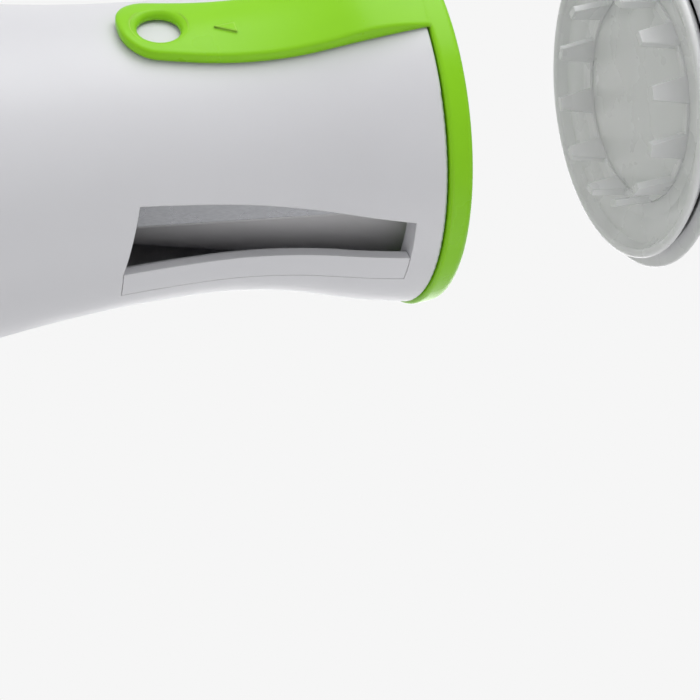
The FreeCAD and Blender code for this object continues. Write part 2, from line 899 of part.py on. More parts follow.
def make_main_blade():
    blade = new_body("blade")
    sketch = new_sketch(blade, "XY_Plane", "blade_section", "-blade_length / 2")
    outline(
        sketch,
        [
            ("0", "0"),
            ("blade_thickness", "blade_bevel"),
            ("blade_thickness", "blade_width"),
            ("0", "blade_width"),
        ],
    )
    padded(blade, sketch, "blade_plate", "blade_length")
    holes = new_sketch(blade, "YZ_Plane", "blade_holes_sketch")
    for sign in ("-", ""):
        circle(holes, "blade_screw_offset", f"{sign}blade_screw_span / 2", "screw_shank / 2")
    pocketed(blade, holes, "blade_holes", "blade_thickness * 2", upward=True)
    blade.Placement = on_cone("blade_angle")
    keep(blade, "main_blade")


def make_blade_screws():
    length = "blade_thickness + blade_screw_bite"
    screw = screw_body("blade_screw", "screw_head", "screw_head_height", "screw_shank", length)
    screw_group("blade_screws", screw, blade_screw_spots("blade_thickness"))


def comb_body(name, seat, width, length, with_holes):
    """A steel strip that lies on a seat, with small knives that reach into the cone."""
    comb = new_body(name)
    strip = new_sketch(comb, "YZ_Plane", name + "_strip", seat)
    outline(
        strip,
        [
            (f"-{width} / 2", f"-({length}) / 2"),
            (f"{width} / 2", f"-({length}) / 2"),
            (f"{width} / 2", f"({length}) / 2"),
            (f"-{width} / 2", f"({length}) / 2"),
        ],
    )
    if with_holes:
        for sign in ("-", ""):
            circle(strip, "0", f"{sign}comb_screw_span / 2", "small_screw_shank / 2")
    padded(comb, strip, name + "_plate", "comb_strip")
    first = "-comb_pitch * (comb_teeth - 1) / 2 - comb_tooth_thickness / 2"
    tooth = new_sketch(comb, "XY_Plane", name + "_tooth", first)
    outline(
        tooth,
        [
            (f"{seat} + comb_strip / 2", "-comb_tooth_width / 2"),
            (f"{seat} + comb_strip / 2", "comb_tooth_width / 2"),
            ("0", "comb_tooth_width / 2"),
            ("-comb_reach", "-comb_tooth_width / 4"),
            ("0", "-comb_tooth_width / 2"),
        ],
    )
    knife = padded(comb, tooth, name + "_knife", "comb_tooth_thickness")
    axis = next(f for f in comb.Origin.OriginFeatures if f.Role == "Z_Axis")
    row = comb.newObject("PartDesign::LinearPattern", name + "_row")
    row.Originals = [knife]
    row.Direction = (axis, [""])
    row.setExpression("Length", formula("comb_pitch * (comb_teeth - 1)"))
    row.setExpression("Occurrences", formula("comb_teeth"))
    comb.Tip = row
    return comb


def make_fixed_comb():
    comb = comb_body("comb_fixed", "comb_seat", "comb_strip_width", "comb_strip_length", True)
    comb.Placement = on_cone(FIXED_ANGLE)
    keep(comb, "fixed_comb")


def make_comb_screws():
    screw = screw_body(
        "comb_screw",
        "small_screw_head",
        "small_screw_head_height",
        "small_screw_shank",
        "comb_strip + comb_seat - face_gap",
    )
    screw_group("comb_screws", screw, comb_screw_spots("comb_seat + comb_strip"))


def slide_frame():
    return on_cone(SLIDE_ANGLE)


def make_sliding_comb():
    comb = comb_body("comb_sliding", "slider_floor", "slider_strip_width", "slider_strip", False)
    comb.Placement = slide_frame()
    keep(comb, "sliding_comb")


def make_comb_slider():
    bar = box(
        "slider_bar",
        ("slider_floor", "-slider_width / 2", "-slider_end"),
        ("slider_floor + slider_thickness", "slider_width / 2", "slider_top"),
        slide_frame(),
    )
    bed = box(
        "slider_bed",
        ("slider_floor", "-slider_strip_width / 2", "-(slider_strip) / 2"),
        ("slider_floor + comb_strip", "slider_strip_width / 2", "(slider_strip) / 2"),
        slide_frame(),
    )
    hole = cylinder("peg_hole", "peg_diameter / 2", "slider_thickness + 2 * cut_over", peg_place("-cut_over"))
    keep(cut("comb_slider_cut", bar, [bed, hole]), "comb_slider")


def peg_place(depth):
    """The cam peg's frame: Z along the peg, level with the ground, at a depth from its root."""
    root = slide_frame().multVec(Vector(number("slider_floor"), 0, number("peg_at")))
    outward = Rotation(Vector(0, 0, 1), number(SLIDE_ANGLE)).multiply(Rotation(Vector(0, 1, 0), 90))
    return Placement(root, outward).multiply(Placement(Vector(0, 0, number(depth)), Rotation()))


def make_cam_peg():
    root = peg_place("0").Base
    peg = doc.addObject("Part::Cylinder", "peg")
    peg.setExpression("Radius", formula("peg_diameter / 2"))
    peg.Height = number("skirt_bore + peg_engagement") - math.hypot(root.x, root.y)
    peg.Placement = peg_place("0")
    keep(peg, "cam_peg")


def make_slide_clips():
    clips = []
    side = "(slider_width / 2 + slider_gap)"
    roof = "(slider_floor + slider_thickness + slider_gap)"
    for middle in ("clip_low", "clip_high"):
        block = box(
            "clip_block",
            ("comb_seat", f"-{side} - clip_wall", f"{middle} - clip_width / 2"),
            (f"{roof} + clip_top", f"{side} + clip_wall", f"{middle} + clip_width / 2"),
            slide_frame(),
        )
        tunnel = box(
            "clip_tunnel",
            ("comb_seat - cut_over", f"-{side}", f"{middle} - clip_width"),
            (roof, side, f"{middle} + clip_width"),
            slide_frame(),
        )
        clips.append(cut("clip", block, [tunnel]))
    pair = doc.addObject("Part::Compound", "clips")
    pair.Links = clips
    keep(pair, "slide_clips")


def make_mouth_ring():
    bore = "mouth_radius - mouth_wall"
    top = "mouth_bottom + mouth_flange_thickness"
    ring = turned(
        "mouth",
        [
            (bore, "mouth_bottom - mouth_spigot"),
            ("mouth_radius", "mouth_bottom - mouth_spigot"),
            ("mouth_radius", "mouth_bottom"),
            ("mouth_flange", "mouth_bottom"),
            ("mouth_flange", f"{top} - mouth_bevel"),
            ("mouth_flange - mouth_bevel", top),
            ("mouth_radius + mouth_round", top),
            (bore, f"{top} - mouth_round - mouth_wall"),
        ],
        {6: ("mouth_round + mouth_wall", 1)},
    )
    keep(ring, "mouth_ring")


# ---------------------------------------------------------------- selector collar
def make_selector_collar():
    ledge_bottom = "(mouth_bottom - ledge_gap - ledge_thickness)"
    ledge_top = f"({ledge_bottom} + ledge_thickness)"
    ring = turned(
        "ring",
        [
            ("skirt_bore", "skirt_bottom"),
            ("skirt_radius", "skirt_bottom"),
            ("skirt_radius", "collar_bottom"),
            ("collar_swollen - rim_round", "collar_bottom"),
            ("collar_swollen", "collar_bottom + rim_round"),
            ("collar_radius", "collar_top - collar_round"),
            ("collar_radius - collar_round", "collar_top"),
            ("mouth_flange + side_gap", "collar_top"),
            ("mouth_flange + side_gap", ledge_top),
            ("ledge_radius", ledge_top),
            ("ledge_radius", ledge_bottom),
            ("skirt_bore", ledge_bottom),
        ],
        {3: ("rim_round", -1), 5: ("collar_round", -1)},
    )
    sketch = new_sketch(ring, "XY_Plane", "dimple_sketch", "skirt_bottom")
    for setting in range(3):
        turn = f"((detent_angle + {setting} * selector_swing / 2) * 1 deg)"
        circle(sketch, f"detent_circle * cos{turn}", f"detent_circle * sin{turn}", "dimple_radius")
    pocketed(ring, sketch, "dimples", "dimple_depth", upward=True)
    solid = fused("ring_and_lever", [ring, make_lever()])
    keep(cut("selector_collar_cut", solid, [make_cam_groove()]), "selector_collar")


def lever_frame():
    return about_axis(number("lever_angle") + 90.0)


def make_lever():
    """The strap that runs down the body from the collar, with its view hole and arrow."""
    blade = common("lever_strap", make_strap_layer(), make_strap_plan())
    doc.recompute()
    rounded = doc.addObject("Part::Fillet", "lever_rounded")
    rounded.Base = blade
    rounded.Edges = [
        (index, number("lever_edge"), number("lever_edge"))
        for index, edge in enumerate(blade.Shape.Edges, start=1)
        if is_outer_rim(edge)
    ]
    whole = fused("lever_and_arrow", [rounded, make_arrow()])
    return cut("lever_holed", whole, [make_view_hole()])


def make_strap_layer():
    """A turned layer round the body at the strap's heights, whose slice is the strap."""
    inner = "lever_gap"
    outer = "(lever_gap + lever_thickness)"
    under_rim = "(rim_height - cut_over)"
    low = "(lever_tip - cut_over)"
    corners = [
        (base_radius(low, inner), low),
        (base_radius(low, outer), low),
        (f"waist_radius + {outer}", "waist_height"),
        (neck_radius("lever_shoulder", outer), "lever_shoulder"),
        ("collar_swollen", "collar_bottom + rim_round"),
        ("skirt_radius + cut_over", "collar_bottom + rim_round"),
        ("rim_radius + face_gap", "collar_bottom"),
        (f"{shoulder_radius(under_rim)} + face_gap + clear_step", under_rim),
        (neck_radius("flare_end", inner), "flare_end"),
        (f"waist_radius + {inner}", "waist_height"),
    ]
    arcs = {
        1: (f"base_flare - {outer}", 1),
        2: (f"neck_flare - {outer}", 1),
        3: ("lever_shoulder_bend", -1),
        7: ("shoulder_bend", 1),
        8: (f"neck_flare - {inner}", -1),
        9: (f"base_flare - {inner}", -1),
    }
    return turned("strap", corners, arcs)


def make_strap_plan():
    """The strap's outline, square on: a round tip, and two sides that lean and curve over.

    Each side starts as a tangent of its tip's round, so that the whole rim runs smoothly.
    """
    across = "cos(lever_lean * 1 deg)"
    along = "sin(lever_lean * 1 deg)"
    left = f"(-lever_tip_flat - lever_low_round * {across})"
    left_start = f"(lever_tip + lever_low_round * (1 + {along}))"
    right = f"(lever_high_round * {across})"
    right_start = f"(lever_tip + lever_high_round * (1 - {along}))"
    top = "(collar_bottom + cut_over)"

    def side_end(start, height):
        """Where a side that starts at a place and height ends, at the strap's top."""
        rise = f"({top} - {height} - lever_bow * {along})"
        return f"({start} - lever_bow * {across} + sqrt(lever_bow^2 - {rise}^2))"

    corners = [
        (side_end(left, left_start), top),
        (left, left_start),
        ("-lever_tip_flat", "lever_tip"),
        ("0", "lever_tip"),
        (right, right_start),
        (side_end(right, right_start), top),
    ]
    arcs = {
        0: ("lever_bow", 1),
        1: ("lever_low_round", -1),
        3: ("lever_high_round", -1),
        4: ("lever_bow", -1),
    }
    return square_on("lever_plan", corners, lever_frame(), arcs=arcs)


def make_arrow():
    """The small raised triangle that points from the strap at the settings."""
    back = "(lever_tip + arrow_rise + arrow_length)"
    corners = [
        ("arrow_side", "lever_tip + arrow_rise"),
        ("arrow_side + arrow_lean + arrow_width / 2", back),
        ("arrow_side + arrow_lean - arrow_width / 2", back),
    ]
    face = "waist_radius + lever_gap + lever_thickness"
    return square_on(
        "arrow", corners, lever_frame(), near=f"{face} - lever_thickness / 2", far=f"{face} + arrow_height"
    )


def make_view_hole():
    """The cutter for the strap's round hole, whose outer edge is well rounded."""
    height = "(lever_tip + view_hole_rise)"
    face = f"({base_radius(height, 'lever_gap + lever_thickness')} - fit_room)"
    inside = "(waist_radius - cut_over)"
    cutter = turned(
        "view_hole",
        [
            ("0", inside),
            ("view_hole / 2", inside),
            ("view_hole / 2", f"{face} - view_hole_round"),
            ("view_hole / 2 + view_hole_round", face),
            ("view_hole / 2 + view_hole_round", f"{face} + 2 * cut_over"),
            ("0", f"{face} + 2 * cut_over"),
        ],
        {2: ("view_hole_round", 1)},
    )
    centre = lever_frame().multVec(Vector(number("view_hole_side"), 0, number(height)))
    facing = Rotation(Vector(0, 0, 1), number("lever_angle")).multiply(Rotation(Vector(0, 1, 0), 90))
    cutter.Placement = Placement(centre, facing)
    return cutter


def is_outer_rim(edge):
    """True for the long edges round the strap's outer face, but not those under the collar."""
    spots = [edge.valueAt(t) for t in (edge.FirstParameter, edge.LastParameter)]
    if min(spot.z for spot in spots) > number("skirt_bottom"):
        return False
    if abs(spots[0].z - spots[1].z) < EXACT < spots[0].z - number("lever_tip"):
        return False
    middle = edge.valueAt((edge.FirstParameter + edge.LastParameter) / 2)
    body_radius = shoulder_radius if middle.z > number("flare_end") else neck_radius
    half_way = number(f"{body_radius(middle.z)} + lever_gap + lever_thickness / 2")
    return math.hypot(middle.x, middle.y) > half_way


def make_cam_groove():
    """The slanted groove inside the skirt that carries the cam peg up as the collar turns.

    It is a chain of short straight cuts with a round end at each limit of the swing.
    """
    width = number("peg_diameter + 2 * groove_clearance")
    swing = number("selector_swing")
    rise = number("comb_travel * cos(cone_half_angle * 1 deg)")
    bore = number("skirt_bore - ledge_width / 2")
    depth = number("groove_bottom") - bore
    count = 8
    step = swing / count
    slope = math.degrees(math.atan2(rise, math.radians(swing) * number("skirt_bore")))
    chord = 2.0 * number("groove_bottom") * math.tan(math.radians(step / 2))
    length = chord + number("fit_room")
    lean = Placement(Vector(), Rotation(Vector(1, 0, 0), slope))
    cuts = []
    for k in range(count):
        share = (k + 0.5) / count
        cutter = Part.makeBox(depth, length, width, Vector(0, -length / 2, -width / 2))
        cutter.Placement = about_axis(share * swing, bore, share * rise).multiply(lean)
        cuts.append(cutter)
    outward = Placement(Vector(), Rotation(Vector(0, 1, 0), 90))
    for share in (0.0, 1.0):
        round_end = Part.makeCylinder(width / 2, depth)
        round_end.Placement = about_axis(share * swing, bore, share * rise).multiply(outward)
        cuts.append(round_end)
    root = peg_place("0").Base
    groove = doc.addObject("Part::Feature", "cam_groove")
    groove.Shape = cuts[0].multiFuse(cuts[1:]).removeSplitter()
    groove.Placement = about_axis(math.degrees(math.atan2(root.y, root.x)), 0, root.z)
    return groove


# ---------------------------------------------------------------- detent
def detent_spot(height):
    return about_axis(number("detent_angle"), number("detent_circle"), number(height))


def make_detent():
    """The ball that clicks into the skirt's dimples, and the coil spring under it."""
    top = "(skirt_bottom - face_gap + detent_rise)"
    ball = doc.addObject("Part::Sphere", "ball")
    ball.setExpression("Radius", formula("detent_ball / 2"))
    ball.Placement = detent_spot(f"{top} - detent_ball / 2")
    keep(ball, "detent_ball")

    floor = "(boss_height - detent_depth + detent_floor)"
    wire = number("spring_wire")
    radius = number("detent_ball / 2 - spring_wire / 2 - spring_gap")
    height = number(f"{top} - detent_ball - {floor} - spring_wire")
    pitch = height / number("spring_turns")
    helix = Part.makeHelix(pitch, height, radius)
    along = Vector(0, 2 * math.pi * radius, pitch).normalize()
    outward = Vector(1, 0, 0)
    across = along.cross(outward)
    corners = [
        outward * (radius + wire / 2 * math.cos(turn)) + across * (wire / 2 * math.sin(turn))
        for turn in (math.radians(45 * k) for k in range(9))
    ]
    spring = doc.addObject("Part::Feature", "spring")
    spring.Shape = Part.Wire(helix.Edges).makePipeShell([Part.makePolygon(corners)], True, True)
    spring.Placement = detent_spot(f"{floor} + spring_wire / 2")
    keep(spring, "detent_spring")


# ---------------------------------------------------------------- vegetable holder
def make_holder_dish():
    """A shallow bowl with a step inside its round rim. Its floor carries the crown of teeth."""
    rim = "dish_rim_round"
    inside = "(dish_radius - dish_rim)"
    dish = turned(
        "dish",
        [
            ("0", "dish_ground"),
            (f"{inside} - dish_bowl", "dish_ground"),
            (f"{inside} - dish_step_draw", "dish_front + dish_step"),
            (inside, f"dish_front + {rim}"),
            (f"{inside} + {rim}", "dish_front"),
            (f"dish_radius - {rim}", "dish_front"),
            ("dish_radius", f"dish_front + {rim}"),
            ("dish_radius", "dish_front + dish_side"),
            ("dish_radius - dish_draw", "dish_back"),
            ("0", "dish_back"),
        ],
        {
            1: ("dish_bowl_bend", -1),
            3: (rim, -1),
            5: (rim, -1),
            7: ("dish_back_bend", -1),
        },
    )
    grooved(
        dish,
        "crown_groove",
        [
            ("crown_inner", "dish_ground - cut_over"),
            ("crown_outer", "dish_ground - cut_over"),
            ("crown_outer", "dish_ground + crown_seat"),
            ("crown_inner", "dish_ground + crown_seat"),
        ],
    )
    sketch = new_sketch(dish, "XY_Plane", "dish_screw_sketch", "dish_back")
    circle(sketch, "shaft_screw_circle", "0", "screw_shank / 2")
    hole = pocketed(dish, sketch, "dish_hole", "dish_floor - screw_hole_floor")
    around(dish, hole, "dish_holes", "3")
    keep(dish, "holder_dish")


def make_tooth_crown():
    crown = turned(
        "crown",
        [
            ("crown_inner", "dish_ground - crown_foot"),
            ("crown_outer", "dish_ground - crown_foot"),
            ("crown_outer", "dish_ground + crown_seat"),
            ("crown_inner", "dish_ground + crown_seat"),
        ],
    )
    sketch = new_sketch(crown, "XZ_Plane", "tooth_sketch", "crown_inner")
    outline(
        sketch,
        [
            ("-tooth_base / 2", "dish_ground"),
            ("-tooth_tip / 2", "dish_ground - tooth_height"),
            ("tooth_tip / 2", "dish_ground - tooth_height"),
            ("tooth_base / 2", "dish_ground"),
        ],
    )
    tooth = padded(crown, sketch, "tooth", "crown_band")
    around(crown, tooth, "teeth", "tooth_count")
    crown.Placement = about_axis(number("tooth_phase"))
    keep(crown, "tooth_crown")


def make_pusher_cap():
    """The wide cone behind the dish that the hand rests against, with the bush's boss."""
    boss = "(bush_radius + boss_wall)"
    crest = "cap_back_radius + cap_crest"
    cap = turned(
        "cap",
        [
            ("cap_radius - cap_lip", "cap_front"),
            ("cap_radius - cap_edge", "cap_front"),
            ("cap_radius", "cap_front + cap_edge"),
            (crest, "cap_back - cap_crest_drop"),
            ("cap_back_radius", "cap_back"),
            ("bush_radius", "cap_back"),
            ("bush_radius", "boss_bottom"),
            (boss, "boss_bottom"),
            (boss, "cap_back - cap_wall"),
            ("cap_back_radius", "cap_back - cap_wall"),
            (crest, "cap_back - cap_crest_drop - cap_slope_wall"),
        ],
        {1: ("cap_edge", -1), 3: ("cap_crest_bend", -1)},
    )
    keep(cap, "pusher_cap")


def make_shaft_bush():
    bore = "(shaft_radius + running_gap)"
    bush = turned(
        "bush",
        [
            (bore, "boss_bottom"),
            ("bush_radius", "boss_bottom"),
            ("bush_radius", "cap_back"),
            ("bush_flange", "cap_back"),
            ("bush_flange", "cap_back + bush_flange_thickness"),
            (bore, "cap_back + bush_flange_thickness"),
        ],
    )
    keep(bush, "shaft_bush")


def make_drive_shaft():
    shaft = turned(
        "shaft",
        [
            ("0", "dish_back"),
            ("shaft_flange", "dish_back"),
            ("shaft_flange", "shaft_flange_top"),
            ("shaft_radius", "shaft_flange_top"),
            ("shaft_radius", "shaft_top"),
            ("0", "shaft_top"),
        ],
    )
    holes = new_sketch(shaft, "XY_Plane", "shaft_screw_sketch", "dish_back - cut_over")
    circle(holes, "shaft_screw_circle", "0", "screw_shank / 2")
    depth = "shaft_flange_top - dish_back + 2 * cut_over"
    around(shaft, pocketed(shaft, holes, "shaft_hole", depth, upward=True), "shaft_holes", "3")
    end = new_sketch(shaft, "XY_Plane", "shaft_end_sketch", "shaft_top")
    circle(end, "0", "0", "screw_shank / 2")
    pocketed(shaft, end, "shaft_end_bore", "shaft_end_hole")
    keep(shaft, "drive_shaft")


def make_dish_screws():
    length = "shaft_flange_top - dish_back + dish_floor - 2 * screw_hole_floor"
    screw = screw_body("dish_screw", "screw_head", "screw_head_height", "screw_shank", length)
    screw_group("dish_screws", screw, thirds("shaft_screw_circle", "shaft_flange_top"))


# ---------------------------------------------------------------- crank
def make_crank_arm():
    hub = turned(
        "hub",
        [
            ("shaft_radius", "hub_bottom"),
            ("hub_radius", "hub_bottom"),
            ("hub_radius", "hub_top - hub_round"),
            ("hub_radius - hub_round", "hub_top"),
            ("hub_recess", "hub_top"),
            ("hub_recess", "shaft_top"),
            ("shaft_radius", "shaft_top"),
        ],
        {2: ("hub_round", -1)},
    )
    through = about_axis(0, 0, number("hub_bottom"))
    well = cylinder("hub_well", "shaft_radius", "hub_height + cut_over", through)
    recess = cylinder("hub_recess", "hub_recess", "hub_height", about_axis(0, 0, number("shaft_top")))
    seat = cylinder(
        "axle_seat", "axle_radius", "arm_thickness + 2 * cut_over", axle_place("arm_bottom - cut_over")
    )
    joined = fused("hub_and_arm", [hub, make_arm_bar()])
    keep(cut("crank_arm_cut", joined, [well, recess, seat]), "crank_arm")


def make_arm_bar():
    """The flat arm from the hub to the knob, with a round end and soft long edges."""
    arm = new_body("arm")
    sketch = new_sketch(arm, "XY_Plane", "arm_plan", "arm_bottom")
    outline(
        sketch,
        [
            ("0", "-arm_hub_half"),
            ("0", "arm_hub_half"),
            ("-crank_length", "arm_tip_half"),
            ("-crank_length - arm_tip_half", "0"),
            ("-crank_length", "-arm_tip_half"),
        ],
        {2: ("arm_tip_half", -1), 3: ("arm_tip_half", -1)},
    )
    bar = padded(arm, sketch, "arm_bar", "arm_thickness")
    doc.recompute()
    rim = [
        f"Edge{index}"
        for index, edge in enumerate(bar.Shape.Edges, start=1)
        if abs(edge.BoundBox.ZLength) < EXACT and edge.BoundBox.XMin < -EXACT
    ]
    soft = arm.newObject("PartDesign::Fillet", "arm_soft")
    soft.Base = (bar, rim)
    soft.setExpression("Radius", formula("arm_edge"))
    arm.Tip = soft
    return arm


def axle_place(height):
    return Placement(Vector(-number("crank_length"), 0, number(height)), Rotation())


def make_hub_screw():
    screw = screw_body("hub_bolt", "screw_head", "screw_head_height", "screw_shank", "hub_screw_length")
    screw.Placement = about_axis(0, 0, number("shaft_top"))
    keep(screw, "hub_screw")


def domed_disc(name, radius, low, high, crown):
    """A round cover with a low domed top, as a turned body."""
    bend = f"(({radius})^2 + ({crown})^2) / (2 * ({crown}))"
    corners = [("0", low), (radius, low), (radius, high), ("0", f"{high} + {crown}")]
    return turned(name, corners, {2: (bend, -1)})


def make_hub_cap():
    low = "shaft_top + screw_head_height + face_gap"
    keep(domed_disc("hub_cover", "hub_recess", low, "hub_top", "hub_cap_crown"), "hub_cap")


def make_knob_axle():
    head = "(knob_top - knob_recess_depth + face_gap)"
    top = f"({head} + axle_head_height)"
    axle = turned(
        "axle",
        [
            ("0", "arm_bottom"),
            ("axle_radius", "arm_bottom"),
            ("axle_radius", head),
            ("axle_head", head),
            ("axle_head", f"{top} - axle_head_bevel"),
            ("axle_head - axle_head_bevel", top),
            ("0", top),
        ],
    )
    axle.Placement = axle_place("0")
    keep(axle, "knob_axle")


def make_crank_knob():
    bore = "(axle_radius + running_gap)"
    foot = "knob_foot_round"
    recess_floor = "knob_top - knob_recess_depth"
    knob = turned(
        "grip",
        [
            (bore, "knob_bottom"),
            (f"knob_neck - {foot}", "knob_bottom"),
            ("knob_neck", f"knob_bottom + {foot}"),
            ("knob_radius", "knob_bottom + knob_length * knob_belly"),
            ("knob_head", "knob_top - knob_crown"),
            ("knob_top_flat", "knob_top"),
            ("knob_recess", "knob_top"),
            ("knob_recess", recess_floor),
            (bore, recess_floor),
        ],
        {
            1: (foot, -1),
            2: ("knob_low_bend", -1),
            3: ("knob_high_bend", -1),
            4: ("knob_crown_bend", -1),
        },
    )
    knob.Placement = axle_place("0")
    keep(knob, "crank_knob")


def make_knob_cap():
    low = "knob_top - knob_cap_thickness"
    cap = domed_disc("knob_cover", "knob_recess", low, "knob_top", "knob_cap_crown")
    cap.Placement = axle_place("0")
    keep(cap, "knob_cap")


for make in (
    make_body_shell,
    make_exit_lip,
    make_foot_ring,
    make_cutter_cone,
    make_cone_screws,
    make_main_blade,
    make_blade_screws,
    make_fixed_comb,
    make_comb_screws,
    make_sliding_comb,
    make_comb_slider,
    make_cam_peg,
    make_slide_clips,
    make_mouth_ring,
    make_selector_collar,
    make_detent,
    make_holder_dish,
    make_tooth_crown,
    make_pusher_cap,
    make_shaft_bush,
    make_drive_shaft,
    make_dish_screws,
    make_crank_arm,
    make_hub_screw,
    make_hub_cap,
    make_knob_axle,
    make_crank_knob,
    make_knob_cap,
):
    make()

# ---------------------------------------------------------------- check and write
doc.recompute()
for item in doc.Objects:
    if "Invalid" in item.State or "Error" in item.State:
        raise RuntimeError(f"{item.Label} did not build: {item.State}")
for piece in nodes:
    if piece.Shape.isNull() or not piece.Shape.isValid():
        raise RuntimeError(f"{piece.Label} has no valid shape")

os.makedirs("parts", exist_ok=True)
for piece in nodes:
    piece.Shape.exportStep(f"parts/{piece.Label}.step")
    print(piece.Label, len(piece.Shape.Solids), "solids,", round(piece.Shape.Volume), "mm3")
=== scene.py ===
"""The looks of the hand spiralizer: materials, floor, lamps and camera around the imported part.

Metres. +Z runs up the tool's axis, the origin is on that axis in the plane of the foot.
"""

import json
import math

import bpy
from mathutils import Matrix, Vector

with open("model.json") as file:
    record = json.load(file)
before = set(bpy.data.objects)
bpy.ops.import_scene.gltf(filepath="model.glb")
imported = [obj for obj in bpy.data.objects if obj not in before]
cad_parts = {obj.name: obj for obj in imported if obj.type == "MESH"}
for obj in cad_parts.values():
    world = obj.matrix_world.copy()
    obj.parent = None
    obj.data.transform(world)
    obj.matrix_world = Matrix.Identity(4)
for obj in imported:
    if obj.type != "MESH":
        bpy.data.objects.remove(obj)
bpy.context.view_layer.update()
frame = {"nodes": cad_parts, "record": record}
scene = bpy.context.scene


# ---------------------------------------------------------------- node helpers
BEVEL_SAMPLES = 8

# The share of its length that a rounded normal loses along the flat one,
# where the painted highlight along edges begins and where it is full.
HIGHLIGHT_START = 0.002
HIGHLIGHT_FULL = 0.12

# The sockets of a Mix node that mixes colours.
MIX_SHARE, MIX_FIRST, MIX_SECOND, MIX_RESULT = 0, 6, 7, 2


class Surface:
    """A material with one Principled shader, and short ways to add the nodes that feed it."""

    def __init__(self, name, **settings):
        self.material = bpy.data.materials.new(name)
        self.material.use_nodes = True
        self.tree = self.material.node_tree
        self.tree.nodes.clear()
        self.output = self.tree.nodes.new("ShaderNodeOutputMaterial")
        self.shader = self.tree.nodes.new("ShaderNodeBsdfPrincipled")
        self.link(self.shader.outputs["BSDF"], self.output.inputs["Surface"])
        for socket, value in settings.items():
            self.shader.inputs[socket.replace("_", " ")].default_value = value
        self.place = self.tree.nodes.new("ShaderNodeTexCoord").outputs["Object"]

    def link(self, source, target):
        self.tree.links.new(source, target)

    def feed(self, socket, source):
        """Links a source to an input of the shader."""
        self.link(source, self.shader.inputs[socket])

    def node(self, kind, inputs=None, **settings):
        """A node with its settings, whose inputs are set by value or linked from a socket."""
        node = self.tree.nodes.new(kind)
        for name, value in settings.items():
            setattr(node, name, value)
        for key, value in (inputs or {}).items():
            if isinstance(value, bpy.types.NodeSocket):
                self.link(value, node.inputs[key])
            else:
                node.inputs[key].default_value = value
        return node

    def stretched(self, factors):
        """Object coordinates, scaled by three factors."""
        return self.node("ShaderNodeMapping", {"Vector": self.place, "Scale": factors}).outputs[0]

    def noise(self, size, detail, place=None, roughness=0.5):
        """Noise whose features are about a size in metres across."""
        inputs = {
            "Vector": place or self.place, "Scale": 1.0 / size,
            "Detail": detail, "Roughness": roughness,
        }
        return self.node("ShaderNodeTexNoise", inputs).outputs["Fac"]

    def ranged(self, value, spread, result=(0.0, 1.0)):
        """A value that covers the result's range while the one it follows covers its spread."""
        inputs = {
            "Value": value, "From Min": spread[0], "From Max": spread[1],
            "To Min": result[0], "To Max": result[1],
        }
        return self.node("ShaderNodeMapRange", inputs).outputs["Result"]

    def mixed(self, share, first, second):
        """One colour going to another as share goes from 0 to 1."""
        inputs = {MIX_SHARE: share, MIX_FIRST: first, MIX_SECOND: second}
        return self.node("ShaderNodeMix", inputs, data_type="RGBA").outputs[MIX_RESULT]

    def product(self, first, second):
        return self.node("ShaderNodeMath", {0: first, 1: second}, operation="MULTIPLY").outputs[0]

    def bump(self, height, depth, normal=None):
        """Relief of a depth in metres, on top of another relief where one is given."""
        inputs = {"Height": height, "Distance": depth}
        if normal is not None:
            inputs["Normal"] = normal
        return self.node("ShaderNodeBump", inputs).outputs["Normal"]

    def softened(self, radius):
        """The normal as if every edge were rounded by a radius in metres."""
        bevel = self.node("ShaderNodeBevel", {"Radius": radius}, samples=BEVEL_SAMPLES)
        return bevel.outputs["Normal"]

    def edges(self, radius):
        """Near 1 at sharp edges, within a radius in metres, and 0 on open faces."""
        soft = self.softened(radius)
        plain = self.node("ShaderNodeNewGeometry").outputs["Normal"]
        along = self.node("ShaderNodeVectorMath", {0: soft, 1: plain}, operation="DOT_PRODUCT")
        return self.ranged(along.outputs["Value"], (1.0 - HIGHLIGHT_START, 1.0 - HIGHLIGHT_FULL))


def colour(red, green, blue):
    """A screen colour from 0 to 255, as the linear colour that shaders take."""
    parts = [value / 255.0 for value in (red, green, blue)]
    linear = [(p / 12.92) if p <= 0.04045 else ((p + 0.055) / 1.055) ** 2.4 for p in parts]
    return (*linear, 1.0)


# ---------------------------------------------------------------- materials
# Noise keeps near its middle, so only this part of it is spread over a whole effect.
TONE_SPREAD = (0.35, 0.65)
DUST_SPREAD = (0.42, 0.62)
ROUGHNESS_SPREAD = (0.3, 0.7)

# Radius in metres of the band along edges that is painted lighter as a painted highlight.
EDGE_HIGHLIGHT_RADIUS = 0.0004
EDGE_ROUNDING = 0.0004
FLOW_SIZE = 0.035
FLOW_STRETCH = (1.0, 1.0, 0.45)
HANDLED_SIZE = 0.012
PEEL_SIZE = 0.004
PEEL_DEPTH = 0.000008
GRAIN_SIZE = 0.00035
GRAIN_DEPTH = 0.00000048


